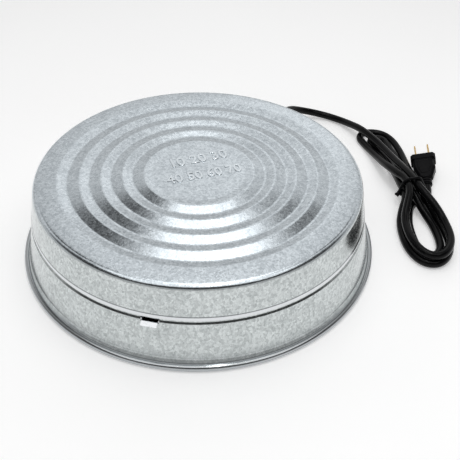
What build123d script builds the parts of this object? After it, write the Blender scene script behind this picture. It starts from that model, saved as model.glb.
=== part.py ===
from build123d import *
import math
import os

os.makedirs("parts", exist_ok=True)

# Overall form of the galvanised base, millimetres and degrees
rim_diameter = 305.0
overall_height = 71.0
sheet = 0.7
wall_draft = 10.6
rim_bead = 5.3
rim_roll = 300.0
lid_depth = 28.4
lid_corner = 5.0
hem_height = 3.5
hem_proud = 0.3
groove_height = 2.0
shoulder_drop = 1.2
skirt_overlap_gap = 9.0
sheet_gap = 0.3

# Concentric ribs pressed in the lid
rib_count = 4
rib_pitch = 17.6
rib_depth = 2.0
rib_valley_share = 0.56
centre_disc_radius = 45.4
crease_round = 5.0

# Inner deck, held by tabs clinched through slots in the skirt
tab_count = 3
tab_angle = 255.0
tab_width = 12.0
tab_length = 3.4
tab_turn = 35.0
tab_bend = 0.8
slot_width = 14.0
slot_below_hem = 1.2
slot_headroom = 2.0
tab_root = 8.0
cut_reach = 6.0

# Studs, nuts and washers that hold the heater stack
stud_count = 4
stud_diameter = 5.0
nut_across_flats = 8.0
nut_height = 4.0
washer_diameter = 10.0
washer_thickness = 1.0
thread_gap = 0.05
hole_gap = 0.3
stud_tail = 2.5

# Heater stack under the lid
stack_gap = 0.1
spreader_stud_gap = 12.4
spreader_thickness = 0.8
pad_margin = 10.0
pad_hole_radius = 30.0
pad_thickness = 2.0
insulation_stud_gap = 10.4
insulation_thickness = 12.0
stack_hole_radius = 22.0
clamp_wall_gap = 2.5

# Snap disc thermostat
cap_radius = 8.0
cap_wall = 0.5
cap_lid_gap = 0.3
ear_width = 8.0
rivet_cap_gap = 1.2
rivet_radius = 1.5
rivet_head_radius = 2.8
rivet_head_height = 0.8
body_height = 9.0
spigot_height = 1.6
spigot_gap = 0.1
disc_thickness = 0.25
disc_dish = 0.4
disc_edge_gap = 0.3
disc_ledge = 0.8
recess_depth = 0.8
pin_radius = 1.0
pin_gap = 0.05
pin_play = 0.1
guide_length = 3.0
cavity_radius = 6.8
base_thickness = 1.5
base_gap = 0.05

# Thermostat switch
terminal_thickness = 0.5
terminal_width = 4.8
terminal_wall_gap = 0.36
terminal_drop = 6.0
terminal_slot_gap = 0.05
pin_below_guide = 1.05
arm_thickness = 0.3
arm_width = 3.0
arm_end_gap = 0.5
arm_pivot = 3.4
arm_seat_gap = 0.05
contact_radius = 1.0
contact_height = 0.5
contact_gap = 0.1
roof_gap = 0.05

# Push-on receptacles and internal wires
receptacle_width = 6.6
receptacle_thickness = 2.4
receptacle_height = 6.0
receptacle_floor = 1.0
barrel_radius = 1.6
barrel_length = 2.5
wire_diameter = 1.8
wire_bend = 3.0
wire_rise = 4.6
wire_crossing_rise = 8.9
wire_turn_rise = 1.6
wire_turn_share = 0.2
neutral_turn_share = 0.7
pad_lead_angle = 40.0
pad_lead_gap = 5.0
conductor_spacing = 3.2
splice_radius = 3.2
splice_length = 13.0
splice_mouth_gap = 0.05
splice_taper = 2.0
splice_x = 60.0
splice_mouth_y = 26.0

# Power cord, gland and grommet
cord_diameter = 7.4
floor_gap = 0.1
cord_angle = 62.0
gland_height = 18.0
gland_neck_radius = 6.8
gland_hole_gap = 0.2
gland_flange_radius = 9.5
gland_flange_thickness = 3.0
gland_seat_gap = 0.1
gland_inside_gap = 0.5
gland_tail_length = 20.0
gland_core_radius = 5.0
gland_rib_count = 5
gland_rib_thickness = 2.4
gland_rib_taper = 0.4
gland_first_rib_radius = 7.4
grommet_inset = 31.4
grommet_neck_radius = 6.0
grommet_flange_radius = 8.5
grommet_lip = 2.0
grommet_bore_gap = 0.15
inner_bend_share = 0.75
inner_cord_rise = 4.1

# Cord route: points in cord pitches from the middle of the hank's waist and up from the floor
bend_share = 0.45
layer_gap = 0.4
waist_x = 201.5
waist_y = 47.0
waist_slant = 12.0
waist_reach = 9.0
lead_reach = 11.0
least_gap_wanted = 0.3
lead_route = [
    (-13.08, 17.94, 2.08),
    (-11.36, 19.26, 1.08),
    (-9.26, 19.74, 0.38),
    (-7.15, 19.23, 0.05),
    (-5.46, 17.87, 0.13),
    (-4.37, 16.05, 0.56),
    (-3.58, 14.29, 1.03),
    (-2.76, 12.56, 1.12),
    (-1.91, 10.58, 1.14),
    (-1.27, 8.46, 1.22),
    (-0.76, 6.15, 1.47),
    (-0.36, 3.85, 1.94),
]
top_loop = [
    (1.78, -3.33, 1.67),
    (2.47, -5.38, 1.01),
    (2.47, -9.02, 1.01),
    (0.90, -11.62, 1.01),
    (-1.05, -11.62, 1.01),
    (-2.22, -9.24, 1.01),
    (-2.22, -5.51, 1.01),
    (-1.35, -3.21, 1.77),
]
long_loop = [
    (-1.38, 2.44, 2.06),
    (-1.88, 4.10, 1.69),
    (-2.18, 5.77, 1.21),
    (-2.38, 7.44, 0.74),
    (-2.68, 9.23, 0.36),
    (-3.04, 10.90, 0.08),
    (-3.41, 12.24, 0.00),
    (-3.73, 13.40, 0.00),
    (-3.29, 14.51, 0.00),
    (-2.05, 14.97, 0.00),
    (-0.33, 14.54, 0.00),
    (0.73, 12.85, 0.00),
    (1.13, 10.26, 0.00),
    (1.22, 7.69, 0.00),
    (1.15, 5.51, 0.18),
    (1.05, 3.21, 0.82),
]
outer_loop = [
    (1.91, -3.33, 0.44),
    (2.53, -5.64, 0.00),
    (2.53, -9.25, 0.00),
    (0.84, -11.82, 0.00),
    (-1.25, -11.82, 0.00),
    (-2.53, -9.48, 0.00),
    (-2.53, -5.51, 0.00),
    (-1.86, -3.21, 0.65),
]
short_loop = [
    (-1.05, 3.21, 0.95),
    (-0.91, 5.64, 0.33),
    (-0.82, 7.82, 0.01),
    (-1.12, 9.62, 0.00),
    (-1.86, 10.97, 0.00),
    (-2.35, 11.92, 0.00),
    (-2.35, 12.76, 0.00),
    (-1.79, 13.31, 0.00),
    (-1.00, 13.31, 0.00),
    (-0.42, 12.73, 0.00),
    (-0.27, 11.73, 0.00),
    (-0.12, 10.38, 0.00),
    (0.17, 8.85, 0.00),
    (0.19, 7.18, 0.05),
    (0.12, 5.26, 0.44),
    (-0.03, 3.08, 0.97),
]
inner_loop = [
    (0.78, -3.21, 0.38),
    (1.47, -5.38, 0.00),
    (1.47, -8.85, 0.00),
    (0.59, -10.49, 0.00),
    (-0.63, -10.49, 0.00),
    (-1.47, -9.00, 0.00),
    (-1.47, -5.64, 0.00),
    (-0.99, -3.46, 0.00),
    (-0.40, -1.79, 0.00),
    (0.83, -0.64, 0.00),
    (1.94, -0.15, 0.00),
]

# Where each strand passes the waist: sideways and up in cord pitches, and how far it leans
lead_pass = (0.40, 2.31, 11.0)
long_pass = (-0.71, 2.31, 3.0)
outer_pass = (1.03, 1.28, 6.0)
short_pass = (-1.03, 1.28, 4.0)
inner_pass = (0.0, 1.28, 5.0)

# Band round the waist of the hank
tie_gap = 0.45
tie_thickness = 1.0
tie_width = 2.4

# Two-blade plug
plug_x = 222.5
plug_y = 63.0
plug_heading = 83.0
plug_tilt = 8.0
plug_roll = 16.0
plug_lead_in = 11.0
relief_length = 10.0
relief_core_radius = 4.3
relief_ring_radius = 5.3
relief_ring_thickness = 1.9
relief_ring_count = 3
plug_neck_width = 13.0
plug_neck_height = 9.6
plug_shoulder = 12.0
plug_shoulder_width = 21.2
plug_shoulder_height = 12.4
plug_body_length = 24.0
plug_plate_width = 24.2
plug_plate_height = 13.6
plug_plate_thickness = 6.5
plug_bevel = 2.4
blade_pitch = 12.7
blade_width = 6.35
blade_thickness = 1.5
blade_length = 18.0
blade_root = 6.0
blade_hole_radius = 1.6
blade_hole_back = 4.5
blade_point = 1.8
blade_slot_gap = 0.05

# Wall line that the lid and the skirt share, and the neck of the skirt inside the lid
draft = math.radians(wall_draft)
slope = math.tan(draft)
level_half = sheet / 2 / math.cos(draft)
curl_radius = (rim_bead - sheet) / 2
curl_centre = (rim_diameter / 2 - rim_bead / 2, rim_bead / 2)
foot = (curl_centre[0] - curl_radius * math.cos(draft), curl_centre[1] - curl_radius * math.sin(draft))
neck_step = (sheet + sheet_gap) / math.cos(draft)


def wall_radius(z):
    return foot[0] - (z - foot[1]) * slope


def neck_radius(z):
    return wall_radius(z) - neck_step


lid_bottom = overall_height - lid_depth
lid_under = overall_height - sheet
top_mid = overall_height - sheet / 2
skirt_top = lid_under - skirt_overlap_gap
last_crest = centre_disc_radius + rib_count * rib_pitch
lid_edge_radius = wall_radius(top_mid)
stud_circle = (last_crest + lid_edge_radius) / 2


def radial_plane(angle):
    turn = math.radians(angle)
    return Plane(
        origin=(0, 0, 0),
        x_dir=(math.cos(turn), math.sin(turn), 0),
        z_dir=(math.sin(turn), -math.cos(turn), 0),
    )


def bend_radii(points):
    radii = []
    for before, here, after in zip(points, points[1:], points[2:]):
        way_in = Vector(*here) - Vector(*before)
        way_out = Vector(*after) - Vector(*here)
        half_turn = math.radians(way_in.get_angle(way_out)) / 2
        radii.append(bend_share * min(way_in.length, way_out.length) / math.tan(half_turn))
    return radii


# Lid: ribbed top plate, rounded corner, drafted wall and a rolled hem
rib_points = [(0, top_mid), (centre_disc_radius, top_mid)]
for rib in range(rib_count):
    crest = centre_disc_radius + rib * rib_pitch
    rib_points.append((crest + rib_valley_share * rib_pitch, top_mid - rib_depth))
    rib_points.append((crest + rib_pitch, top_mid))
lid_edge = (lid_edge_radius, top_mid)
lid_end = (wall_radius(lid_bottom), lid_bottom)
lid_points = rib_points + [lid_edge, lid_end]
lid_radii = [crease_round] * (len(rib_points) - 1) + [lid_corner - sheet / 2]
hem_top = lid_bottom + hem_height
hem_middle = lid_bottom + hem_height / 2
hem_top_inside = (wall_radius(hem_top), hem_top)
hem_upper_edge = (hem_top_inside[0] + level_half, hem_top)
hem_lower_edge = (lid_end[0] + level_half, lid_bottom)
hem_face_radius = wall_radius(hem_middle) + level_half
hem_crown = (hem_face_radius + hem_proud * math.cos(draft), hem_middle + hem_proud * math.sin(draft))

with BuildPart() as lid:
    with BuildSketch(Plane.XZ):
        with BuildLine():
            FilletPolyline(*lid_points, radius=lid_radii)
        trace(line_width=sheet)
        with BuildLine():
            ThreePointArc(hem_upper_edge, hem_crown, hem_lower_edge)
            Polyline(hem_lower_edge, lid_end, hem_top_inside, hem_upper_edge)
        make_face()
    revolve(axis=Axis.Z)
lid.part.label = "lid"
export_step(lid.part, "parts/lid.step")

# Deck level follows the slot under the hem
slot_top = lid_bottom - slot_below_hem
deck_top = slot_top - slot_headroom
deck_bottom = deck_top - sheet
deck_mid = deck_top - sheet / 2
slot_bottom = deck_bottom - sheet_gap
deck_radius = neck_radius(deck_top) - level_half - sheet_gap

# Gland axis stands square to the drafted wall
cord_turn = math.radians(cord_angle)
cord_out = Vector(math.cos(cord_turn), math.sin(cord_turn), 0)
gland_out = cord_out * math.cos(draft) + Vector(0, 0, math.sin(draft))
gland_wall = wall_radius(gland_height) + level_half
gland_seat = cord_out * gland_wall + Vector(0, 0, gland_height)
gland_plane = Plane(
    origin=gland_seat,
    x_dir=(-math.sin(cord_turn), math.cos(cord_turn), 0),
    z_dir=gland_out,
)

# Skirt: drafted ring with a stepped-in neck, a rolled rim, three slots and the cord hole
neck_end = lid_bottom - groove_height
shoulder_end = neck_end - shoulder_drop

with BuildPart() as skirt:
    with BuildSketch(Plane.XZ):
        with BuildLine():
            Polyline(
                (neck_radius(skirt_top), skirt_top),
                (neck_radius(neck_end), neck_end),
                (wall_radius(shoulder_end), shoulder_end),
                foot,
            )
            JernArc(
                start=foot,
                tangent=(math.sin(draft), -math.cos(draft)),
                radius=curl_radius,
                arc_size=rim_roll,
            )
        trace(line_width=sheet)
    revolve(axis=Axis.Z)
    with BuildSketch(Plane.XY.offset(slot_bottom)):
        with PolarLocations(wall_radius(deck_mid), tab_count, start_angle=tab_angle):
            Rectangle(2 * cut_reach, slot_width)
    extrude(amount=slot_top - slot_bottom, mode=Mode.SUBTRACT)
    with BuildSketch(gland_plane):
        Circle(gland_neck_radius + gland_hole_gap)
    extrude(amount=cut_reach, both=True, mode=Mode.SUBTRACT)
skirt.part.label = "skirt"
export_step(skirt.part, "parts/skirt.step")

# Deck: flat disc with three tabs that come out through the skirt and bend down
tab_corner = wall_radius(deck_mid) + neck_step
tab_slope = math.radians(tab_turn)
tab_points = [
    (deck_radius - tab_root, deck_mid),
    (tab_corner, deck_mid),
    (tab_corner + tab_length * math.cos(tab_slope), deck_mid - tab_length * math.sin(tab_slope)),
]
grommet_circle = deck_radius - grommet_inset
grommet_x = grommet_circle * math.cos(cord_turn)
grommet_y = grommet_circle * math.sin(cord_turn)

with BuildPart() as deck:
    with BuildSketch(Plane.XY.offset(deck_bottom)):
        Circle(deck_radius)
        with PolarLocations(stud_circle, stud_count):
            Circle(stud_diameter / 2 + hole_gap, mode=Mode.SUBTRACT)
        with Locations((grommet_x, grommet_y)):
            Circle(grommet_neck_radius + grommet_bore_gap, mode=Mode.SUBTRACT)
    extrude(amount=sheet)
    for tab in range(tab_count):
        with BuildSketch(radial_plane(tab_angle + tab * 360 / tab_count)):
            with BuildLine():
                FilletPolyline(*tab_points, radius=tab_bend)
            trace(line_width=sheet)
        extrude(amount=tab_width / 2, both=True)
deck.part.label = "deck"
export_step(deck.part, "parts/deck.step")

# Levels of the heater stack, from the ribs downward
spreader_top = lid_under - rib_depth - stack_gap
spreader_bottom = spreader_top - spreader_thickness
pad_top = spreader_bottom - stack_gap
pad_bottom = pad_top - pad_thickness
insulation_top = pad_bottom - stack_gap
insulation_bottom = insulation_top - insulation_thickness
clamp_top = insulation_bottom - stack_gap
clamp_bottom = clamp_top - sheet
clamp_nut_bottom = clamp_bottom - washer_thickness - nut_height
deck_nut_bottom = deck_bottom - washer_thickness - nut_height
stud_bottom = deck_nut_bottom - stud_tail
spreader_radius = stud_circle - stud_diameter / 2 - spreader_stud_gap
insulation_radius = stud_circle - stud_diameter / 2 - insulation_stud_gap
pad_radius = insulation_radius - pad_margin
clamp_radius = neck_radius(clamp_top) - level_half - clamp_wall_gap
rivet_spacing = 2 * (cap_radius + rivet_head_radius + rivet_cap_gap)
ear_reach = rivet_spacing / 2 + ear_width / 2

# Weld studs under the flat outer ring of the lid
with BuildPart() as lid_studs:
    with BuildSketch(Plane.XY.offset(stud_bottom)):
        with PolarLocations(stud_circle, stud_count):
            Circle(stud_diameter / 2)
    extrude(amount=lid_under - stud_bottom)
lid_studs.part.label = "lid_studs"
export_step(lid_studs.part, "parts/lid_studs.step")

# Aluminium heat spreader against the ribs
with BuildPart() as heat_spreader:
    with BuildSketch(Plane.XY.offset(spreader_bottom)):
        Circle(spreader_radius)
        Circle(cap_radius + hole_gap, mode=Mode.SUBTRACT)
        with Locations((rivet_spacing / 2, 0), (-rivet_spacing / 2, 0)):
            Circle(rivet_radius + stack_gap, mode=Mode.SUBTRACT)
    extrude(amount=spreader_thickness)
heat_spreader.part.label = "heat_spreader"
export_step(heat_spreader.part, "parts/heat_spreader.step")

# Flexible heating pad
with BuildPart() as heating_pad:
    with BuildSketch(Plane.XY.offset(pad_bottom)):
        Circle(pad_radius)
        Circle(pad_hole_radius, mode=Mode.SUBTRACT)
    extrude(amount=pad_thickness)
heating_pad.part.label = "heating_pad"
export_step(heating_pad.part, "parts/heating_pad.step")

# Fibre insulation pad
with BuildPart() as insulation_pad:
    with BuildSketch(Plane.XY.offset(insulation_bottom)):
        Circle(insulation_radius)
        Circle(stack_hole_radius, mode=Mode.SUBTRACT)
    extrude(amount=insulation_thickness)
insulation_pad.part.label = "insulation_pad"
export_step(insulation_pad.part, "parts/insulation_pad.step")

# Clamp plate that presses the stack up to the lid
with BuildPart() as clamp_plate:
    with BuildSketch(Plane.XY.offset(clamp_bottom)):
        Circle(clamp_radius)
        Circle(stack_hole_radius, mode=Mode.SUBTRACT)
        with PolarLocations(stud_circle, stud_count):
            Circle(stud_diameter / 2 + hole_gap, mode=Mode.SUBTRACT)
    extrude(amount=sheet)
clamp_plate.part.label = "clamp_plate"
export_step(clamp_plate.part, "parts/clamp_plate.step")

# Nuts and washers, one set under the clamp plate and one under the deck
with BuildPart() as stud_washers:
    for underside in (clamp_bottom, deck_bottom):
        with BuildSketch(Plane.XY.offset(underside - washer_thickness)):
            with PolarLocations(stud_circle, stud_count):
                Circle(washer_diameter / 2)
            with PolarLocations(stud_circle, stud_count):
                Circle(stud_diameter / 2 + hole_gap, mode=Mode.SUBTRACT)
        extrude(amount=washer_thickness)
stud_washers.part.label = "stud_washers"
export_step(stud_washers.part, "parts/stud_washers.step")

with BuildPart() as clamp_nuts:
    with BuildSketch(Plane.XY.offset(clamp_nut_bottom)):
        with PolarLocations(stud_circle, stud_count):
            RegularPolygon(radius=nut_across_flats / 2, side_count=6, major_radius=False)
        with PolarLocations(stud_circle, stud_count):
            Circle(stud_diameter / 2 + thread_gap, mode=Mode.SUBTRACT)
    extrude(amount=nut_height)
clamp_nuts.part.label = "clamp_nuts"
export_step(clamp_nuts.part, "parts/clamp_nuts.step")

with BuildPart() as deck_nuts:
    with BuildSketch(Plane.XY.offset(deck_nut_bottom)):
        with PolarLocations(stud_circle, stud_count):
            RegularPolygon(radius=nut_across_flats / 2, side_count=6, major_radius=False)
        with PolarLocations(stud_circle, stud_count):
            Circle(stud_diameter / 2 + thread_gap, mode=Mode.SUBTRACT)
    extrude(amount=nut_height)
deck_nuts.part.label = "deck_nuts"
export_step(deck_nuts.part, "parts/deck_nuts.step")

# Thermostat levels
flange_top = spreader_bottom - stack_gap
flange_bottom = flange_top - cap_wall
cap_top = lid_under - cap_lid_gap
body_top = flange_bottom - stack_gap
body_bottom = body_top - body_height
spigot_top = body_top + spigot_height
spigot_radius = cap_radius - cap_wall - spigot_gap
recess_radius = spigot_radius - disc_ledge
recess_floor = spigot_top - recess_depth
cavity_roof = recess_floor - guide_length
disc_radius = spigot_radius - disc_edge_gap
disc_edge = spigot_top + disc_thickness
disc_crown = disc_edge + disc_dish
pin_top = disc_crown - disc_thickness / 2 - pin_play
pin_bottom = cavity_roof - pin_below_guide

# Metal cap with a two-ear flange
with BuildPart() as thermostat_cap:
    with BuildSketch(Plane.XY.offset(flange_bottom)):
        Circle(cap_radius + cap_wall)
        SlotOverall(2 * ear_reach, ear_width)
        with Locations((rivet_spacing / 2, 0), (-rivet_spacing / 2, 0)):
            Circle(rivet_radius + stack_gap, mode=Mode.SUBTRACT)
    extrude(amount=cap_wall)
    with BuildSketch(Plane.XY.offset(flange_bottom)):
        Circle(cap_radius)
    extrude(amount=cap_top - flange_bottom)
    with BuildSketch(Plane.XY.offset(flange_bottom)):
        Circle(cap_radius - cap_wall)
    extrude(amount=cap_top - cap_wall - flange_bottom, mode=Mode.SUBTRACT)
thermostat_cap.part.label = "thermostat_cap"
export_step(thermostat_cap.part, "parts/thermostat_cap.step")

with BuildPart() as thermostat_rivets:
    with BuildSketch(Plane.XY.offset(flange_bottom)):
        with Locations((rivet_spacing / 2, 0), (-rivet_spacing / 2, 0)):
            Circle(rivet_radius)
    extrude(amount=spreader_top - flange_bottom)
    with BuildSketch(Plane.XY.offset(spreader_top)):
        with Locations((rivet_spacing / 2, 0), (-rivet_spacing / 2, 0)):
            Circle(rivet_head_radius)
    extrude(amount=rivet_head_height)
    with BuildSketch(Plane.XY.offset(flange_bottom - rivet_head_height)):
        with Locations((rivet_spacing / 2, 0), (-rivet_spacing / 2, 0)):
            Circle(rivet_head_radius)
    extrude(amount=rivet_head_height)
thermostat_rivets.part.label = "thermostat_rivets"
export_step(thermostat_rivets.part, "parts/thermostat_rivets.step")

# Bimetal disc, dished upward when cold
with BuildPart() as bimetal_disc:
    with BuildSketch(Plane.XZ):
        with BuildLine():
            ThreePointArc((-disc_radius, disc_edge), (0, disc_crown), (disc_radius, disc_edge))
        trace(line_width=disc_thickness)
        with Locations((-disc_radius, disc_edge)):
            Rectangle(2 * disc_radius, 2 * disc_radius, mode=Mode.SUBTRACT)
    revolve(axis=Axis.Z)
bimetal_disc.part.label = "bimetal_disc"
export_step(bimetal_disc.part, "parts/bimetal_disc.step")

# Moulded body with the pin guide above an open switch cavity
with BuildPart() as thermostat_body:
    with BuildSketch(Plane.XY.offset(body_bottom)):
        Circle(cap_radius)
    extrude(amount=body_height)
    with BuildSketch(Plane.XY.offset(body_top)):
        Circle(spigot_radius)
    extrude(amount=spigot_height)
    with BuildSketch(Plane.XY.offset(recess_floor)):
        Circle(recess_radius)
    extrude(amount=recess_depth, mode=Mode.SUBTRACT)
    with BuildSketch(Plane.XY.offset(body_bottom)):
        Circle(cavity_radius)
    extrude(amount=cavity_roof - body_bottom, mode=Mode.SUBTRACT)
    with BuildSketch(Plane.XY.offset(cavity_roof)):
        Circle(pin_radius + pin_gap)
    extrude(amount=guide_length, mode=Mode.SUBTRACT)
thermostat_body.part.label = "thermostat_body"
export_step(thermostat_body.part, "parts/thermostat_body.step")

# Base plug that closes the cavity round the two terminals
terminal_back = math.sqrt(cavity_radius**2 - (terminal_width / 2) ** 2) - terminal_wall_gap
terminal_offset = terminal_back - terminal_thickness
terminal_mid = terminal_offset + terminal_thickness / 2

with BuildPart() as thermostat_base:
    with BuildSketch(Plane.XY.offset(body_bottom)):
        Circle(cavity_radius - base_gap)
        with Locations((terminal_mid, 0), (-terminal_mid, 0)):
            Rectangle(
                terminal_thickness + 2 * terminal_slot_gap,
                terminal_width + 2 * terminal_slot_gap,
                mode=Mode.SUBTRACT,
            )
    extrude(amount=base_thickness)
thermostat_base.part.label = "thermostat_base"
export_step(thermostat_base.part, "parts/thermostat_base.step")

# Pin that the bimetal disc pushes down on the contact arm
pin_tip_edge = (pin_radius, pin_bottom + pin_radius)

with BuildPart() as transfer_pin:
    with BuildSketch(Plane.XZ):
        with BuildLine():
            Polyline((0, pin_bottom), (0, pin_top), (pin_radius, pin_top), pin_tip_edge)
            RadiusArc(pin_tip_edge, (0, pin_bottom), pin_radius)
        make_face()
    revolve(axis=Axis.Z)
transfer_pin.part.label = "transfer_pin"
export_step(transfer_pin.part, "parts/transfer_pin.step")

# Contact arm with its contact on the upper side
arm_top = pin_bottom - pin_play
arm_bottom = arm_top - arm_thickness
arm_back = terminal_offset - arm_seat_gap
arm_reach = terminal_offset - arm_end_gap
contact_position = arm_reach - contact_radius

with BuildPart() as contact_arm:
    with BuildSketch(Plane.XY.offset(arm_bottom)):
        with Locations(((arm_reach - arm_back) / 2, 0)):
            Rectangle(arm_reach + arm_back, arm_width)
    extrude(amount=arm_thickness)
    with BuildSketch(Plane.XY.offset(arm_top)):
        with Locations((contact_position, 0)):
            Circle(contact_radius)
    extrude(amount=contact_height)
contact_arm.part.label = "contact_arm"
export_step(contact_arm.part, "parts/contact_arm.step")

# Terminals: a shelf inside the cavity and a tab down through the base
tab_tip = body_bottom - terminal_drop
fixed_shelf_bottom = arm_top + contact_height + contact_gap
fixed_shelf_top = cavity_roof - roof_gap
fixed_shelf_start = contact_position - contact_radius

with BuildPart() as fixed_terminal:
    with BuildSketch(Plane.XY.offset(fixed_shelf_bottom)):
        with Locations(((fixed_shelf_start + terminal_back) / 2, 0)):
            Rectangle(terminal_back - fixed_shelf_start, terminal_width)
    extrude(amount=fixed_shelf_top - fixed_shelf_bottom)
    with BuildSketch(Plane.XY.offset(tab_tip)):
        with Locations((terminal_mid, 0)):
            Rectangle(terminal_thickness, terminal_width)
    extrude(amount=fixed_shelf_top - tab_tip)
fixed_terminal.part.label = "fixed_terminal"
export_step(fixed_terminal.part, "parts/fixed_terminal.step")

arm_shelf_top = arm_bottom - arm_seat_gap
arm_shelf_bottom = arm_shelf_top - terminal_thickness

with BuildPart() as arm_terminal:
    with BuildSketch(Plane.XY.offset(arm_shelf_bottom)):
        with Locations((-(arm_pivot + terminal_back) / 2, 0)):
            Rectangle(terminal_back - arm_pivot, terminal_width)
    extrude(amount=terminal_thickness)
    with BuildSketch(Plane.XY.offset(tab_tip)):
        with Locations((-terminal_mid, 0)):
            Rectangle(terminal_thickness, terminal_width)
    extrude(amount=arm_shelf_top - tab_tip)
arm_terminal.part.label = "arm_terminal"
export_step(arm_terminal.part, "parts/arm_terminal.step")

# Push-on receptacles over the two tabs
receptacle_bottom = tab_tip - receptacle_floor
barrel_bottom = receptacle_bottom - barrel_length

with BuildPart() as tab_receptacles:
    with BuildSketch(Plane.XY.offset(receptacle_bottom)):
        with Locations((terminal_mid, 0), (-terminal_mid, 0)):
            Rectangle(receptacle_thickness, receptacle_width)
    extrude(amount=receptacle_height)
    with BuildSketch(Plane.XY.offset(tab_tip)):
        with Locations((terminal_mid, 0), (-terminal_mid, 0)):
            Rectangle(
                terminal_thickness + 2 * terminal_slot_gap,
                terminal_width + 2 * terminal_slot_gap,
            )
    extrude(amount=receptacle_height, mode=Mode.SUBTRACT)
    with BuildSketch(Plane.XY.offset(barrel_bottom)):
        with Locations((terminal_mid, 0), (-terminal_mid, 0)):
            Circle(barrel_radius)
    extrude(amount=barrel_length)
tab_receptacles.part.label = "tab_receptacles"
export_step(tab_receptacles.part, "parts/tab_receptacles.step")

# Internal wires between the cord, the thermostat and the heating pad
wire_level = deck_top + wire_rise
wire_crossing_level = deck_top + wire_crossing_rise
wire_turn_level = deck_top + wire_turn_rise
inner_cord_end = deck_top + inner_cord_rise
pad_lead_drop_radius = stack_hole_radius - pad_lead_gap
lead_turn = math.radians(pad_lead_angle)
pad_mid = (pad_top + pad_bottom) / 2
lead_in = (pad_hole_radius * math.cos(lead_turn), pad_hole_radius * math.sin(lead_turn))
lead_down = (pad_lead_drop_radius * math.cos(lead_turn), pad_lead_drop_radius * math.sin(lead_turn))
return_start = (lead_in[0], lead_in[1], pad_mid)
load_start = (lead_in[0], -lead_in[1], pad_mid)
along_wall = Vector(-math.sin(cord_turn), math.cos(cord_turn), 0) * (conductor_spacing / 2)
line_start = Vector(grommet_x, grommet_y, inner_cord_end) + along_wall
line_middle = (line_start.X / 2, line_start.Y / 2, wire_crossing_level - wire_diameter / 2)
neutral_start = Vector(grommet_x, grommet_y, inner_cord_end) - along_wall
splice_axis_z = wire_level + wire_diameter

with BuildPart() as wire_line:
    with BuildLine() as wire_line_path:
        FilletPolyline(
            line_start,
            (line_start.X, line_start.Y, wire_crossing_level),
            line_middle,
            (0, wire_turn_share * line_start.Y, wire_level),
            (-terminal_mid, 0, wire_turn_level),
            (-terminal_mid, 0, barrel_bottom),
            radius=wire_bend,
        )
    with BuildSketch(Plane(origin=line_start, z_dir=(0, 0, 1))):
        Circle(wire_diameter / 2)
    sweep(path=wire_line_path.line)
wire_line.part.label = "wire_line"
export_step(wire_line.part, "parts/wire_line.step")

with BuildPart() as wire_neutral:
    with BuildLine() as wire_neutral_path:
        FilletPolyline(
            neutral_start,
            (neutral_start.X, neutral_start.Y, wire_crossing_level),
            (splice_x, neutral_turn_share * neutral_start.Y, splice_axis_z + wire_diameter),
            (splice_x + wire_diameter, splice_mouth_y + splice_length, splice_axis_z),
            (splice_x + wire_diameter, splice_mouth_y, splice_axis_z),
            radius=wire_bend,
        )
    with BuildSketch(Plane(origin=neutral_start, z_dir=(0, 0, 1))):
        Circle(wire_diameter / 2)
    sweep(path=wire_neutral_path.line)
wire_neutral.part.label = "wire_neutral"
export_step(wire_neutral.part, "parts/wire_neutral.step")

with BuildPart() as wire_pad_return:
    with BuildLine() as pad_return_path:
        FilletPolyline(
            return_start,
            (lead_down[0], lead_down[1], pad_mid),
            (lead_down[0], lead_down[1], wire_level),
            (splice_x / 2, splice_mouth_y + splice_length, wire_level),
            (splice_x - splice_length, splice_mouth_y + 2 * splice_length, splice_axis_z),
            (splice_x - wire_diameter, splice_mouth_y + splice_length, splice_axis_z),
            (splice_x - wire_diameter, splice_mouth_y, splice_axis_z),
            radius=wire_bend,
        )
    with BuildSketch(Plane(origin=return_start, z_dir=(-lead_in[0], -lead_in[1], 0))):
        Circle(wire_diameter / 2)
    sweep(path=pad_return_path.line)
wire_pad_return.part.label = "wire_pad_return"
export_step(wire_pad_return.part, "parts/wire_pad_return.step")

with BuildPart() as wire_load:
    with BuildLine() as wire_load_path:
        FilletPolyline(
            load_start,
            (lead_down[0], -lead_down[1], pad_mid),
            (lead_down[0], -lead_down[1], wire_level),
            (terminal_mid, 0, wire_turn_level),
            (terminal_mid, 0, barrel_bottom),
            radius=wire_bend,
        )
    with BuildSketch(Plane(origin=load_start, z_dir=(-lead_in[0], lead_in[1], 0))):
        Circle(wire_diameter / 2)
    sweep(path=wire_load_path.line)
wire_load.part.label = "wire_load"
export_step(wire_load.part, "parts/wire_load.step")

# Closed-end splice where the pad return meets the neutral wire
splice_plane = Plane(
    origin=(splice_x, splice_mouth_y - splice_mouth_gap, splice_axis_z),
    x_dir=(1, 0, 0),
    z_dir=(0, -1, 0),
)

with BuildPart() as wire_splice:
    with BuildSketch(splice_plane):
        Circle(splice_radius)
    extrude(amount=splice_length, taper=splice_taper)
wire_splice.part.label = "wire_splice"
export_step(wire_splice.part, "parts/wire_splice.step")

# Rubber grommet in the deck
grommet_bore = cord_diameter / 2 + grommet_bore_gap

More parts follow.
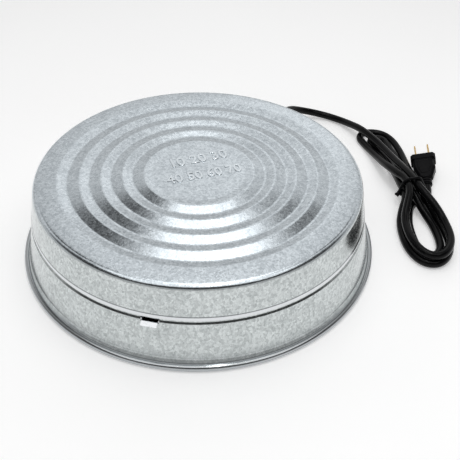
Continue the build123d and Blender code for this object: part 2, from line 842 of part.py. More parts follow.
with BuildPart() as deck_grommet:
    with BuildSketch(Plane.XY.offset(deck_bottom - sheet_gap - grommet_lip)):
        with Locations((grommet_x, grommet_y)):
            Circle(grommet_flange_radius)
    extrude(amount=grommet_lip)
    with BuildSketch(Plane.XY.offset(deck_top + sheet_gap)):
        with Locations((grommet_x, grommet_y)):
            Circle(grommet_flange_radius)
    extrude(amount=grommet_lip)
    with BuildSketch(Plane.XY.offset(deck_bottom - sheet_gap)):
        with Locations((grommet_x, grommet_y)):
            Circle(grommet_neck_radius)
    extrude(amount=sheet + 2 * sheet_gap)
    with BuildSketch(Plane.XY.offset(deck_bottom - sheet_gap - grommet_lip)):
        with Locations((grommet_x, grommet_y)):
            Circle(grommet_bore)
    extrude(amount=sheet + 2 * sheet_gap + 2 * grommet_lip, mode=Mode.SUBTRACT)
deck_grommet.part.label = "deck_grommet"
export_step(deck_grommet.part, "parts/deck_grommet.step")

# Moulded cord gland: collar inside, neck, flange and ribbed tail outside
inside_face = sheet + gland_inside_gap + gland_flange_thickness
tail_start = gland_seat_gap + gland_flange_thickness
tail_end = tail_start + gland_tail_length
rib_step = gland_tail_length / gland_rib_count

with BuildPart() as cord_gland:
    with BuildSketch(gland_plane.offset(-inside_face)):
        Circle(gland_flange_radius)
    extrude(amount=gland_flange_thickness)
    with BuildSketch(gland_plane.offset(-inside_face)):
        Circle(gland_neck_radius)
    extrude(amount=inside_face + tail_start)
    with BuildSketch(gland_plane.offset(gland_seat_gap)):
        Circle(gland_flange_radius)
    extrude(amount=gland_flange_thickness)
    with BuildSketch(gland_plane.offset(tail_start)):
        Circle(gland_core_radius)
    extrude(amount=gland_tail_length)
    for rib in range(gland_rib_count):
        with BuildSketch(gland_plane.offset(tail_start + rib * rib_step)):
            Circle(gland_first_rib_radius - rib * gland_rib_taper)
        extrude(amount=gland_rib_thickness)
cord_gland.part.label = "cord_gland"
export_step(cord_gland.part, "parts/cord_gland.step")

# Cord inside the base, from the gland up through the grommet
inner_start = gland_seat - gland_out * inside_face
inner_run = (inner_start.X - grommet_x) / gland_out.X
inner_corner = inner_start - gland_out * inner_run
inner_rise = inner_cord_end - inner_corner.Z
inner_half_turn = (math.pi / 2 + draft) / 2
inner_cord_bend = inner_bend_share * min(inner_run, inner_rise) / math.tan(inner_half_turn)

with BuildPart() as cord_inner:
    with BuildLine() as cord_inner_path:
        FilletPolyline(
            inner_start,
            inner_corner,
            (grommet_x, grommet_y, inner_cord_end),
            radius=inner_cord_bend,
        )
    with BuildSketch(Plane(origin=inner_start, z_dir=-gland_out)):
        Circle(cord_diameter / 2)
    sweep(path=cord_inner_path.line)
cord_inner.part.label = "cord_inner"
export_step(cord_inner.part, "parts/cord_inner.step")

# Cord route in millimetres
floor_level = cord_diameter / 2 + floor_gap
cord_pitch = cord_diameter + layer_gap
slant = math.radians(waist_slant)
waist_centre = Vector(waist_x, waist_y, floor_level)
waist_across = Vector(math.cos(slant), math.sin(slant), 0)
waist_down = Vector(math.sin(slant), -math.cos(slant), 0)


def route_points(steps):
    return [waist_centre + Vector(*step) * cord_pitch for step in steps]


def through_waist(strand, reach):
    side, rise, turn = strand
    lean = math.radians(turn)
    spot = waist_centre + (waist_across * side + Vector(0, 0, rise)) * cord_pitch
    ahead = Vector(-math.sin(lean), math.cos(lean), 0) * reach
    return [spot - ahead, spot + ahead]


# Plug lying on the floor, on whichever of its sections reaches lowest
plug_turn = math.radians(plug_heading)
tilt = math.radians(plug_tilt)
roll = math.radians(plug_roll)


def section_drop(width, height, along):
    corner = height / 2 * math.cos(roll) + (width / 2 - plug_bevel) * math.sin(roll)
    return corner * math.cos(tilt) - along * math.sin(tilt)


plug_drop = max(
    relief_ring_radius,
    section_drop(plug_shoulder_width, plug_shoulder_height, relief_length + plug_shoulder),
    section_drop(plug_plate_width, plug_plate_height, relief_length + plug_body_length),
)
plug_start = Vector(plug_x, plug_y, floor_gap + plug_drop)
plug_level = Vector(math.sin(plug_turn), -math.cos(plug_turn), 0)
plug_ahead = Vector(math.cos(plug_turn), math.sin(plug_turn), 0)
plug_way = plug_ahead * math.cos(tilt) + Vector(0, 0, math.sin(tilt))

# Hank: through the waist and round a loop, five times, then out to the plug
lead_line = through_waist(lead_pass, -lead_reach)
hank_start = (lead_line[0] + lead_line[1]) / 2
hank_way = (lead_line[1] - lead_line[0]).normalized()
hank_route = [lead_line[1]]
hank_route += route_points(top_loop)
hank_route += through_waist(long_pass, waist_reach)
hank_route += route_points(long_loop)
hank_route += through_waist(outer_pass, -waist_reach)
hank_route += route_points(outer_loop)
hank_route += through_waist(short_pass, waist_reach)
hank_route += route_points(short_loop)
hank_route += through_waist(inner_pass, -waist_reach)
hank_route += route_points(inner_loop)
hank_route += [plug_start - plug_way * plug_lead_in]

# Stations of the hank: the middle of each leg of its route and the way the leg runs
hank_stations = [(hank_start + hank_way * cord_diameter, hank_way)]
for here, there in zip(hank_route, hank_route[1:]):
    hank_stations.append(((here + there) / 2, (there - here).normalized()))
hank_stations.append((plug_start - plug_way * cord_diameter, plug_way))


def arc_joint(here, way_here, there, way_there):
    span = there - here
    both = way_here + way_there
    same = way_here.dot(way_there)
    reach = -span.dot(both) + math.sqrt(span.dot(both) ** 2 + 2 * (1 - same) * span.dot(span))
    reach = reach / (2 * (1 - same)) if same < 1 - 1e-9 else span.dot(span) / (4 * span.dot(way_here))
    return (here + there + (way_here - way_there) * reach) / 2


# Hank: one unbroken tube, straight for one diameter at both ends
hank_radii = []

with BuildPart() as cord_hank:
    with BuildLine() as hank_path:
        Line(hank_start, hank_stations[0][0])
        for (here, way_here), (there, way_there) in zip(hank_stations, hank_stations[1:]):
            middle = arc_joint(here, way_here, there, way_there)
            first_arc = TangentArc(here, middle, tangent=way_here)
            second_arc = TangentArc(middle, there, tangent=first_arc % 1)
            hank_radii += [first_arc.radius, second_arc.radius]
        Line(hank_stations[-1][0], plug_start)
    with BuildSketch(Plane(origin=hank_start, z_dir=hank_way)):
        Circle(cord_diameter / 2)
    sweep(path=hank_path.line)
cord_hank.part.label = "cord_hank"
export_step(cord_hank.part, "parts/cord_hank.step")

# Cord from the gland to the hank
lead_start = gland_seat + gland_out * tail_end
lead_points = [lead_start, lead_start + gland_out * gland_tail_length]
lead_points += route_points(lead_route)
lead_points += [lead_line[0], hank_start]
lead_radii = bend_radii([tuple(point) for point in lead_points])

with BuildPart() as cord_lead:
    with BuildLine() as lead_path:
        FilletPolyline(*lead_points, radius=lead_radii)
    with BuildSketch(Plane(origin=lead_start, z_dir=gland_out)):
        Circle(cord_diameter / 2)
    sweep(path=lead_path.line)
cord_lead.part.label = "cord_lead"
export_step(cord_lead.part, "parts/cord_lead.step")

# Band round the waist
tie_plane = Plane(origin=waist_centre, x_dir=waist_across, z_dir=waist_down)
strands = [lead_pass, long_pass, outer_pass, short_pass, inner_pass]
waist_spots = [(side * cord_pitch, rise * cord_pitch) for side, rise, turn in strands]

with BuildPart() as cord_tie:
    with BuildSketch(tie_plane):
        with Locations(*waist_spots):
            Circle(cord_diameter / 2 + tie_gap + tie_thickness)
        make_hull()
    extrude(amount=tie_width / 2, both=True)
    with BuildSketch(tie_plane):
        with Locations(*waist_spots):
            Circle(cord_diameter / 2 + tie_gap)
        make_hull()
    extrude(amount=tie_width / 2, both=True, mode=Mode.SUBTRACT)
cord_tie.part.label = "cord_tie"
export_step(cord_tie.part, "parts/cord_tie.step")

# Plug: ringed strain relief, bevelled body and face plate
plug_across = plug_level * math.cos(roll) + plug_level.cross(plug_way) * math.sin(roll)
plug_plane = Plane(origin=plug_start, x_dir=plug_across, z_dir=plug_way)
ring_step = relief_length / relief_ring_count
plate_start = relief_length + plug_body_length
plug_face = plate_start + plug_plate_thickness

with BuildPart() as plug_body:
    with BuildSketch(plug_plane.offset(relief_length)) as neck_section:
        Rectangle(plug_neck_width, plug_neck_height)
        chamfer(neck_section.vertices(), plug_bevel)
    with BuildSketch(plug_plane.offset(relief_length + plug_shoulder)) as shoulder_section:
        Rectangle(plug_shoulder_width, plug_shoulder_height)
        chamfer(shoulder_section.vertices(), plug_bevel)
    with BuildSketch(plug_plane.offset(plate_start)) as front_section:
        Rectangle(plug_shoulder_width, plug_shoulder_height)
        chamfer(front_section.vertices(), plug_bevel)
    loft(ruled=True)
    with BuildSketch(plug_plane.offset(plate_start)) as plate_section:
        Rectangle(plug_plate_width, plug_plate_height)
        chamfer(plate_section.vertices(), plug_bevel)
    extrude(amount=plug_plate_thickness)
    with BuildSketch(plug_plane):
        Circle(relief_core_radius)
    extrude(amount=relief_length)
    for ring in range(relief_ring_count):
        with BuildSketch(plug_plane.offset(ring * ring_step + ring_step - relief_ring_thickness)):
            Circle(relief_ring_radius)
        extrude(amount=relief_ring_thickness)
    with BuildSketch(plug_plane.offset(plug_face)):
        with Locations((blade_pitch / 2, 0), (-blade_pitch / 2, 0)):
            Rectangle(blade_thickness + 2 * blade_slot_gap, blade_width + 2 * blade_slot_gap)
    extrude(amount=-blade_root, mode=Mode.SUBTRACT)
plug_body.part.label = "plug_body"
export_step(plug_body.part, "parts/plug_body.step")

# Brass blades with a hole near each tip
blade_plane = Plane(origin=plug_start + plug_way * plug_face, x_dir=plug_plane.y_dir, z_dir=plug_across)
blade_outline = [
    (-blade_width / 2, -blade_root),
    (blade_width / 2, -blade_root),
    (blade_width / 2, blade_length - blade_point),
    (blade_width / 2 - blade_point, blade_length),
    (blade_point - blade_width / 2, blade_length),
    (-blade_width / 2, blade_length - blade_point),
]

with BuildPart() as plug_blades:
    for blade_side in (blade_pitch / 2, -blade_pitch / 2):
        with BuildSketch(blade_plane.offset(blade_side)):
            with BuildLine():
                Polyline(*blade_outline, close=True)
            make_face()
            with Locations((0, blade_length - blade_hole_back)):
                Circle(blade_hole_radius, mode=Mode.SUBTRACT)
        extrude(amount=blade_thickness / 2, both=True)
plug_blades.part.label = "plug_blades"
export_step(plug_blades.part, "parts/plug_blades.step")

# Lengths, bends and clearances of the cord
hank_wire = hank_path.wires()[0]
lead_wire = lead_path.wires()[0]
inner_wire = cord_inner_path.wires()[0]
section = math.pi * (cord_diameter / 2) ** 2
for cord, wire in ((cord_hank, hank_wire), (cord_lead, lead_wire), (cord_inner, inner_wire)):
    volume_share = cord.part.volume / (section * wire.length)
    print(cord.part.label, "length", round(wire.length, 1), "volume share", round(volume_share, 4))
print("hank least radius", round(min(hank_radii), 2))
print("lead radii", [round(radius, 1) for radius in lead_radii])
steps = round(hank_wire.length)
spots = [tuple(hank_wire.position_at(step / steps)) for step in range(steps + 1)]
near = 2 * cord_diameter
least = min(
    math.dist(spots[a], spots[b])
    for a in range(steps + 1)
    for b in range(a + round(near), steps + 1)
)
print("hank least gap", round(least - cord_diameter, 3), "wanted", least_gap_wanted)
print("cord total", round(hank_wire.length + lead_wire.length + inner_wire.length, 1))
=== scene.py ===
import math

import bmesh
import bpy
from mathutils import Matrix, Vector


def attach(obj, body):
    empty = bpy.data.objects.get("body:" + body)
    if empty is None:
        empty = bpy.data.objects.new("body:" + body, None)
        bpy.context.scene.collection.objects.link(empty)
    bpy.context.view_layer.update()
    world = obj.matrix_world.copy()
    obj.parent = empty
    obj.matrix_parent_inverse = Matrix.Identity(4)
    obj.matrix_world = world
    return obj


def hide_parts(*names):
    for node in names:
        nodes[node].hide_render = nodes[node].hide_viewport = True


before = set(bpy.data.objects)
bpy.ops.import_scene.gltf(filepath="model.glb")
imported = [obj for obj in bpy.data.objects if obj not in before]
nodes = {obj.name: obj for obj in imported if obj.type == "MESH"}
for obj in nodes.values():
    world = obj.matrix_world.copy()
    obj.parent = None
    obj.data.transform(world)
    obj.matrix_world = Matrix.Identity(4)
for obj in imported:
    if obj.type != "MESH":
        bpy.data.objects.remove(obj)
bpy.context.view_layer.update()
MM = 0.001


# Camera at the photograph's angle
def place_camera(position, yaw, pitch, roll, lens):
    yaw, pitch, roll = (math.radians(angle) for angle in (yaw, pitch, roll))
    level_reach = math.cos(pitch)
    ahead = Vector((math.sin(yaw) * level_reach, math.cos(yaw) * level_reach, -math.sin(pitch)))
    level = Vector((math.cos(yaw), -math.sin(yaw), 0))
    above = level.cross(ahead)
    right = level * math.cos(roll) + above * math.sin(roll)
    up = above * math.cos(roll) - level * math.sin(roll)
    data = bpy.data.cameras.new("camera")
    data.sensor_width = 36
    data.lens = lens
    data.clip_start = 0.01
    data.clip_end = 50
    camera = bpy.data.objects.new("camera", data)
    camera.matrix_world = Matrix((right, up, -ahead)).transposed().to_4x4()
    camera.location = position
    bpy.context.scene.collection.objects.link(camera)
    bpy.context.scene.camera = camera


place_camera((0, -0.4612, 0.4007), yaw=3.33, pitch=40.48, roll=1.34, lens=53.2)


# Small helpers for materials made of nodes
class Shade:
    def __init__(self, name):
        self.material = bpy.data.materials.new(name)
        self.material.use_nodes = True
        self.tree = self.material.node_tree
        self.surface = self.tree.nodes["Principled BSDF"]
        self.place = self.tree.nodes.new("ShaderNodeTexCoord").outputs["Object"]

    def add(self, kind, inputs=None, **settings):
        made = self.tree.nodes.new(kind)
        for key, value in settings.items():
            setattr(made, key, value)
        for key, value in (inputs or {}).items():
            self.put(made.inputs[key], value)
        return made

    def put(self, socket, value):
        if isinstance(value, bpy.types.NodeSocket):
            self.tree.links.new(value, socket)
        else:
            socket.default_value = value

    def stretch(self, scale):
        return self.add("ShaderNodeMapping", {"Vector": self.place, "Scale": scale}).outputs["Vector"]

    def noise(self, scale, detail=3.0, roughness=0.55, source=None):
        inputs = {"Vector": source or self.place, "Scale": scale}
        inputs |= {"Detail": detail, "Roughness": roughness}
        return self.add("ShaderNodeTexNoise", inputs).outputs["Fac"]

    def cells(self, scale, source):
        made = self.add("ShaderNodeTexVoronoi", {"Vector": source, "Scale": scale})
        return self.add("ShaderNodeSeparateColor", {"Color": made.outputs["Color"]}).outputs["Red"]

    def math(self, operation, first, second=0.0, clamp=False):
        made = self.add("ShaderNodeMath", {0: first, 1: second}, operation=operation, use_clamp=clamp)
        return made.outputs["Value"]

    def weighted(self, parts):
        total = None
        for value, weight in parts:
            part = self.math("MULTIPLY", value, weight)
            total = part if total is None else self.math("ADD", total, part)
        return total

    def span(self, value, low, high, to_low=0.0, to_high=1.0):
        inputs = {"Value": value, "From Min": low, "From Max": high}
        inputs |= {"To Min": to_low, "To Max": to_high}
        return self.add("ShaderNodeMapRange", inputs).outputs["Result"]

    def mix(self, share, first, second):
        made = self.add("ShaderNodeMix", data_type="RGBA")
        self.put(made.inputs["Factor"], share)
        self.put(made.inputs[6], first)
        self.put(made.inputs[7], second)
        return made.outputs[2]

    def mix_vector(self, share, first, second):
        made = self.add("ShaderNodeMix", data_type="VECTOR")
        self.put(made.inputs["Factor"], share)
        self.put(made.inputs[4], first)
        self.put(made.inputs[5], second)
        return made.outputs[1]

    def ramp(self, value, stops):
        made = self.add("ShaderNodeValToRGB", {"Fac": value})
        marks = made.color_ramp.elements
        while len(marks) < len(stops):
            marks.new(0.5)
        for mark, (position, colour) in zip(marks, stops):
            mark.position = position
            mark.color = (*colour, 1)
        return made.outputs["Color"]

    def bump(self, height, distance, strength, under=None):
        inputs = {"Height": height, "Distance": distance, "Strength": strength}
        made = self.add("ShaderNodeBump", inputs)
        if under is not None:
            self.put(made.inputs["Normal"], under)
        return made.outputs["Normal"]

    def finish(self, **inputs):
        for key, value in inputs.items():
            self.put(self.surface.inputs[key.replace("_", " ").title()], value)
        return self.material


# Galvanised sheet: fine flecked zinc, drawn into upright streaks on walls. Between two heights its edge
# gets a painted highlight, just above that a thin line of painted shade, and up the foot of the wall can get
# painted shade
ZINC_HIGHLIGHT, ZINC_CREASE_SHADE, ZINC_FOOT_SHADE = (0.74, 0.76, 0.78, 1), (0.16, 0.17, 0.18, 1), (0.19, 0.21, 0.22, 1)
FOOT_SHADE_REACH = 11 * MM


def galvanised(name, top, wall, bright_from, bright_to, foot_shade=0.0):
    shade = Shade(name)
    facing = shade.add("ShaderNodeNewGeometry").outputs["Normal"]
    upward = shade.add("ShaderNodeSeparateXYZ", {"Vector": facing}).outputs["Z"]
    flat = shade.span(upward, 0.4, 0.8)
    place = shade.mix_vector(flat, shade.stretch((1.0, 1.0, 0.8)), shade.place)
    ragged = shade.add("ShaderNodeTexNoise", {"Vector": place, "Scale": 300.0, "Detail": 2.0})
    offset = shade.add(
        "ShaderNodeVectorMath", {0: ragged.outputs["Color"], "Scale": 0.003}, operation="SCALE"
    )
    moved = shade.add("ShaderNodeVectorMath", {0: place, 1: offset.outputs["Vector"]}, operation="ADD")
    fleck = shade.cells(620.0, moved.outputs["Vector"])
    grain = shade.noise(1000.0, 3.0, 0.7, place)
    cloud = shade.noise(70.0, 4.0, 0.6, place)
    streak = shade.noise(600.0, 2.0, 0.5, shade.stretch((1.0, 1.0, 0.08)))
    scratch = shade.span(shade.noise(260.0, 2.0, 0.5, shade.stretch((1.0, 0.03, 1.0))), 0.64, 0.70)
    tone = shade.weighted([(fleck, 0.28), (grain, 0.50), (cloud, 0.18), (streak, 0.10), (scratch, 0.05)])
    # Upward faces take the top colours and walls the wall colours; on the lid the top's lighter, bluer
    # colours are a painted reflection of the sky
    on_top = shade.ramp(tone, [(0.30, top[0]), (0.76, top[1])])
    on_wall = shade.ramp(tone, [(0.30, wall[0]), (0.76, wall[1])])
    colour = shade.mix(flat, on_wall, on_top)
    height = shade.add("ShaderNodeSeparateXYZ", {"Vector": shade.place}).outputs["Z"]
    # Painted highlight: between bright_from and bright_to the colour turns pale, and the sheet is made a
    # little smoother there
    highlight_up = shade.span(height, bright_from - 0.6 * MM, bright_from + 0.2 * MM)
    highlight_down = shade.span(height, bright_to - 0.2 * MM, bright_to + 0.6 * MM, 1.0, 0.0)
    edge = shade.math("MULTIPLY", highlight_up, highlight_down)
    colour = shade.mix(edge, colour, ZINC_HIGHLIGHT)
    # Painted shade: a thin dark line just above the highlight band
    crease_up = shade.span(height, bright_to + 0.2 * MM, bright_to + 0.5 * MM)
    crease_down = shade.span(height, bright_to + 0.7 * MM, bright_to + 1.0 * MM, 1.0, 0.0)
    colour = shade.mix(shade.math("MULTIPLY", crease_up, crease_down), colour, ZINC_CREASE_SHADE)
    # Painted shade: the wall is darkened just above the band, fading out upward
    foot_shading = shade.span(height, bright_to, bright_to + FOOT_SHADE_REACH, foot_shade, 0.0)
    colour = shade.mix(foot_shading, colour, ZINC_FOOT_SHADE)
    rough = shade.span(shade.math("ADD", shade.math("MULTIPLY", fleck, 0.4), grain), 0.3, 1.1, 0.14, 0.23)
    rough = shade.math("SUBTRACT", rough, shade.math("MULTIPLY", edge, 0.08))
    wave = shade.bump(shade.noise(14.0, 2.0, 0.4), 1.2 * MM, 0.2)
    skin = shade.bump(shade.math("ADD", fleck, grain), 0.03 * MM, 0.25, wave)
    return shade.finish(base_color=colour, metallic=1.0, roughness=rough, normal=skin)


# Plain machined or rolled metals
def metal(name, dark, light, rough, scale=900.0, stretch=(1, 1, 1)):
    shade = Shade(name)
    grain = shade.noise(scale, 4.0, 0.6, shade.stretch(stretch))
    cloud = shade.noise(scale / 12, 3.0, 0.55)
    tone = shade.weighted([(grain, 0.6), (cloud, 0.4)])
    colour = shade.ramp(tone, [(0.3, dark), (0.7, light)])
    gloss = shade.span(tone, 0.3, 0.7, rough - 0.06, rough + 0.08)
    skin = shade.bump(grain, 0.03 * MM, 0.4)
    return shade.finish(base_color=colour, metallic=1.0, roughness=gloss, normal=skin)


# Moulded, rubbery and fibrous materials. A piece's sharp edges look rounded by the radius given as edge
def moulded(name, dark, light, rough, scale=700.0, depth=0.04 * MM, specular=0.5, edge=0.0):
    shade = Shade(name)
    grain = shade.noise(scale, 4.0, 0.6)
    cloud = shade.noise(scale / 20, 3.0, 0.5)
    tone = shade.weighted([(grain, 0.5), (cloud, 0.5)])
    colour = shade.ramp(tone, [(0.3, dark), (0.72, light)])
    gloss = shade.span(tone, 0.3, 0.7, rough - 0.07, rough + 0.09)
    rounded = None
    if edge:
        rounded = shade.add("ShaderNodeBevel", {"Radius": edge}, samples=6).outputs["Normal"]
    skin = shade.bump(grain, depth, 0.35, rounded)
    shade.surface.inputs["Specular IOR Level"].default_value = specular
    return shade.finish(base_color=colour, roughness=gloss, normal=skin)


# Each zinc colour is its dark and its light end
bluish = ((0.45, 0.495, 0.53), (0.83, 0.895, 0.94))
greyish = ((0.36, 0.388, 0.39), (0.74, 0.78, 0.78))
# Lid: top faces painted lighter and bluer than the walls, a painted highlight on the hem and painted shade
# just above it
zinc_lid = galvanised("zinc_lid", bluish, greyish, 42.6 * MM, 45.2 * MM)
# Skirt: a painted highlight on the rolled rim, painted shade where the wall meets it and up the foot of the
# wall
zinc_skirt = galvanised("zinc_skirt", greyish, greyish, -10 * MM, 5.3 * MM, foot_shade=0.5)
# Raised numbers: lighter than the lid around them, a painted highlight
zinc_raised_highlight = metal("zinc_raised_highlight", (0.66, 0.71, 0.75), (0.88, 0.94, 0.98), 0.24)
# Deck: a painted highlight on its tabs, with painted shade just above them
zinc_inner = galvanised("zinc_inner", greyish, greyish, 34 * MM, 42.5 * MM)
plated = metal("plated_steel", (0.46, 0.46, 0.45), (0.66, 0.65, 0.63), 0.28)
aluminium = metal("aluminium", (0.72, 0.73, 0.74), (0.86, 0.87, 0.88), 0.34, 600.0, (0.1, 1, 1))
brass = metal("brass", (0.52, 0.36, 0.16), (0.74, 0.55, 0.28), 0.26, 1200.0, (1, 0.15, 1))
bimetal = metal("bimetal", (0.50, 0.46, 0.40), (0.64, 0.60, 0.54), 0.3)
silicone = moulded("silicone", (0.30, 0.055, 0.025), (0.40, 0.085, 0.04), 0.55, 900.0)
fibre = moulded("fibre", (0.55, 0.52, 0.44), (0.74, 0.71, 0.62), 0.9, 420.0, 0.6 * MM)
phenolic = moulded("phenolic", (0.020, 0.014, 0.011), (0.040, 0.030, 0.024), 0.42)
ceramic = moulded("ceramic", (0.72, 0.70, 0.66), (0.84, 0.82, 0.78), 0.4)
wire_black = moulded("wire_black", (0.012, 0.012, 0.012), (0.028, 0.028, 0.028), 0.38)
wire_white = moulded("wire_white", (0.66, 0.66, 0.64), (0.78, 0.78, 0.76), 0.4)
wire_red = moulded("wire_red", (0.34, 0.025, 0.020), (0.46, 0.045, 0.035), 0.4)
grey_nylon = moulded("grey_nylon", (0.22, 0.23, 0.24), (0.32, 0.33, 0.34), 0.45)
rubber = moulded("rubber", (0.012, 0.012, 0.013), (0.030, 0.030, 0.031), 0.5)
vinyl = moulded(
    "vinyl", (0.004, 0.004, 0.0045), (0.010, 0.010, 0.011), 0.30,
    scale=1400.0, depth=0.03 * MM, specular=0.06, edge=0.9 * MM,
)
jacket = moulded(
    "jacket", (0.002, 0.002, 0.0022), (0.006, 0.006, 0.0065), 0.15,
    scale=600.0, depth=0.01 * MM, specular=0.13,
)

finishes = {
    zinc_lid: ["lid"],
    zinc_skirt: ["skirt"],
    zinc_inner: ["deck", "clamp_plate"],
    plated: ["lid_studs", "clamp_nuts", "deck_nuts", "stud_washers", "thermostat_rivets", "tab_receptacles"],
    aluminium: ["heat_spreader", "thermostat_cap"],
    brass: ["plug_blades", "contact_arm", "fixed_terminal", "arm_terminal"],
    bimetal: ["bimetal_disc"],
    silicone: ["heating_pad"],
    fibre: ["insulation_pad"],
    phenolic: ["thermostat_body", "thermostat_base"],
    ceramic: ["transfer_pin"],
    wire_black: ["wire_line"],
    wire_white: ["wire_neutral", "wire_pad_return"],
    wire_red: ["wire_load"],
    grey_nylon: ["wire_splice"],
    rubber: ["deck_grommet"],
    vinyl: ["cord_gland", "plug_body", "cord_tie"],
    jacket: ["cord_inner", "cord_lead", "cord_hank"],
}
for material, names in finishes.items():
    for name in names:
        for slot in nodes[name].material_slots:
            slot.material = material


# Cord: the lead's route, then the hank's loops, as one spline. Points are in cord pitches from the
# hank's waist, and each strand passes the waist at its own side, height and lean in degrees
PITCH = 7.8 * MM
waist = Vector((0.2015, 0.047, 0.0038))
waist_across = Vector((0.97815, 0.20791, 0))
lead_route = [
    (-13.08, 17.94, 2.08), (-11.36, 19.26, 1.08), (-9.26, 19.74, 0.38), (-7.15, 19.23, 0.05),
    (-5.46, 17.87, 0.13), (-4.37, 16.05, 0.56), (-3.58, 14.29, 1.03), (-2.76, 12.56, 1.12),
    (-1.91, 10.58, 1.14), (-1.27, 8.46, 1.22), (-0.76, 6.15, 1.47), (-0.36, 3.85, 1.94),
]
top_loop = [
    (1.78, -3.33, 1.67), (2.47, -5.38, 1.01), (2.47, -9.02, 1.01), (0.90, -11.62, 1.01),
    (-1.05, -11.62, 1.01), (-2.22, -9.24, 1.01), (-2.22, -5.51, 1.01), (-1.35, -3.21, 1.77),
]
long_loop = [
    (-1.38, 2.44, 2.06), (-1.88, 4.10, 1.69), (-2.18, 5.77, 1.21), (-2.38, 7.44, 0.74),
    (-2.68, 9.23, 0.36), (-3.04, 10.90, 0.08), (-3.41, 12.24, 0.0), (-3.73, 13.40, 0.0),
    (-3.29, 14.51, 0.0), (-2.05, 14.97, 0.0), (-0.33, 14.54, 0.0), (0.73, 12.85, 0.0),
    (1.13, 10.26, 0.0), (1.22, 7.69, 0.0), (1.15, 5.51, 0.18), (1.05, 3.21, 0.82),
]
outer_loop = [
    (1.91, -3.33, 0.44), (2.53, -5.64, 0.0), (2.53, -9.25, 0.0), (0.84, -11.82, 0.0),
    (-1.25, -11.82, 0.0), (-2.53, -9.48, 0.0), (-2.53, -5.51, 0.0), (-1.86, -3.21, 0.65),
]
short_loop = [
    (-1.05, 3.21, 0.95), (-0.91, 5.64, 0.33), (-0.82, 7.82, 0.01), (-1.12, 9.62, 0.0),
    (-1.86, 10.97, 0.0), (-2.35, 11.92, 0.0), (-2.35, 12.76, 0.0), (-1.79, 13.31, 0.0),
    (-1.00, 13.31, 0.0), (-0.42, 12.73, 0.0), (-0.27, 11.73, 0.0), (-0.12, 10.38, 0.0),
    (0.17, 8.85, 0.0), (0.19, 7.18, 0.05), (0.12, 5.26, 0.44), (-0.03, 3.08, 0.97),
]
inner_loop = [
    (0.78, -3.21, 0.38), (1.47, -5.38, 0.0), (1.47, -8.85, 0.0), (0.59, -10.49, 0.0),
    (-0.63, -10.49, 0.0), (-1.47, -9.00, 0.0), (-1.47, -5.64, 0.0), (-0.99, -3.46, 0.0),
    (-0.40, -1.79, 0.0), (0.83, -0.64, 0.0), (1.94, -0.15, 0.0),
]
lead_pass, long_pass = (0.40, 2.31, 11.0), (-0.71, 2.31, 3.0)
outer_pass, short_pass, inner_pass = (1.03, 1.28, 6.0), (-1.03, 1.28, 4.0), (0.0, 1.28, 5.0)
LEAD_REACH, STRAND_REACH, PLUG_REACH = 11 * MM, 9 * MM, 11 * MM


def at_waist(side, rise):
    return waist + (waist_across * side + Vector((0, 0, rise))) * PITCH


def through_waist(strand, reach):
    side, rise, turn = strand
    lean = math.radians(turn)
    ahead = Vector((-math.sin(lean), math.cos(lean), 0)) * reach
    return [at_waist(side, rise) - ahead, at_waist(side, rise) + ahead]


def route_points(steps):
    return [waist + Vector(step) * PITCH for step in steps]


plug_start = Vector((0.2225, 0.063, 0.0054))
plug_way = Vector((0.12068, 0.98289, 0.13917))
cord_exit = Vector((0.07873, 0.14807, 0.022249))
gland_end = Vector((0.087959, 0.165427, 0.025928))
route = [cord_exit, gland_end]
route += route_points(lead_route) + through_waist(lead_pass, -LEAD_REACH)
route += route_points(top_loop) + through_waist(long_pass, STRAND_REACH)
route += route_points(long_loop) + through_waist(outer_pass, -STRAND_REACH)
route += route_points(outer_loop) + through_waist(short_pass, STRAND_REACH)
route += route_points(short_loop) + through_waist(inner_pass, -STRAND_REACH)
route += route_points(inner_loop) + [plug_start - plug_way * PLUG_REACH, plug_start]

cord_diameter = 7.4 * MM
cord_line = bpy.data.curves.new("power_cord", "CURVE")
cord_line.dimensions = "3D"
spline = cord_line.splines.new("NURBS")
spline.points.add(len(route) - 1)
for point, spot in zip(spline.points, route):
    point.co = (*spot, 1)
spline.order_u = 3
spline.use_endpoint_u = True
spline.resolution_u = 12
cord_line.bevel_depth = cord_diameter / 2
cord_line.bevel_resolution = 7
cord_line.use_fill_caps = True
power_cord = bpy.data.objects.new("power_cord", cord_line)
bpy.context.scene.collection.objects.link(power_cord)
cord_line.materials.append(jacket)
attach(power_cord, "base")
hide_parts("cord_lead", "cord_hank")


# A piece of the base that scene.py makes
def new_piece(name, mesh, material):
    mesh.materials.clear()
    mesh.materials.append(material)
    made = bpy.data.objects.new(name, mesh)
    bpy.context.scene.collection.objects.link(made)
    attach(made, "base")
    return made


def smooth(mesh):
    for face in mesh.polygons:
        face.use_smooth = True


def mesh_of(name, curve):
    shape = bpy.data.objects.new(name, curve)
    bpy.context.scene.collection.objects.link(shape)
    mesh = bpy.data.meshes.new_from_object(shape.evaluated_get(bpy.context.evaluated_depsgraph_get()))
    bpy.data.objects.remove(shape)
    return mesh


# Wire tie drawn tight round the five strands, with its two ends twisted together
TIE_REACH, TIE_RADIUS = 4.9 * MM, 1.3 * MM
TWIST_STEPS, TWIST_STEP, TWIST_TURN, TWIST_RADIUS = 9, 0.4 * MM, 0.5, 1.0 * MM


# Outline drawn tight round circles with the given reach
def round_hull(spots, reach):
    turns = [turn * math.pi / 18 for turn in range(36)]
    rim = sorted(
        (round(x + reach * math.cos(turn), 6), round(z + reach * math.sin(turn), 6))
        for x, z in spots
        for turn in turns
    )
    hull = []
    for run in (rim, rim[::-1]):
        side = []
        for x, z in run:
            while len(side) > 1:
                (ax, az), (bx, bz) = side[-2:]
                if (bx - ax) * (z - az) - (bz - az) * (x - ax) > 0:
                    break
                side.pop()
            side.append((x, z))
        hull += side[:-1]
    return hull


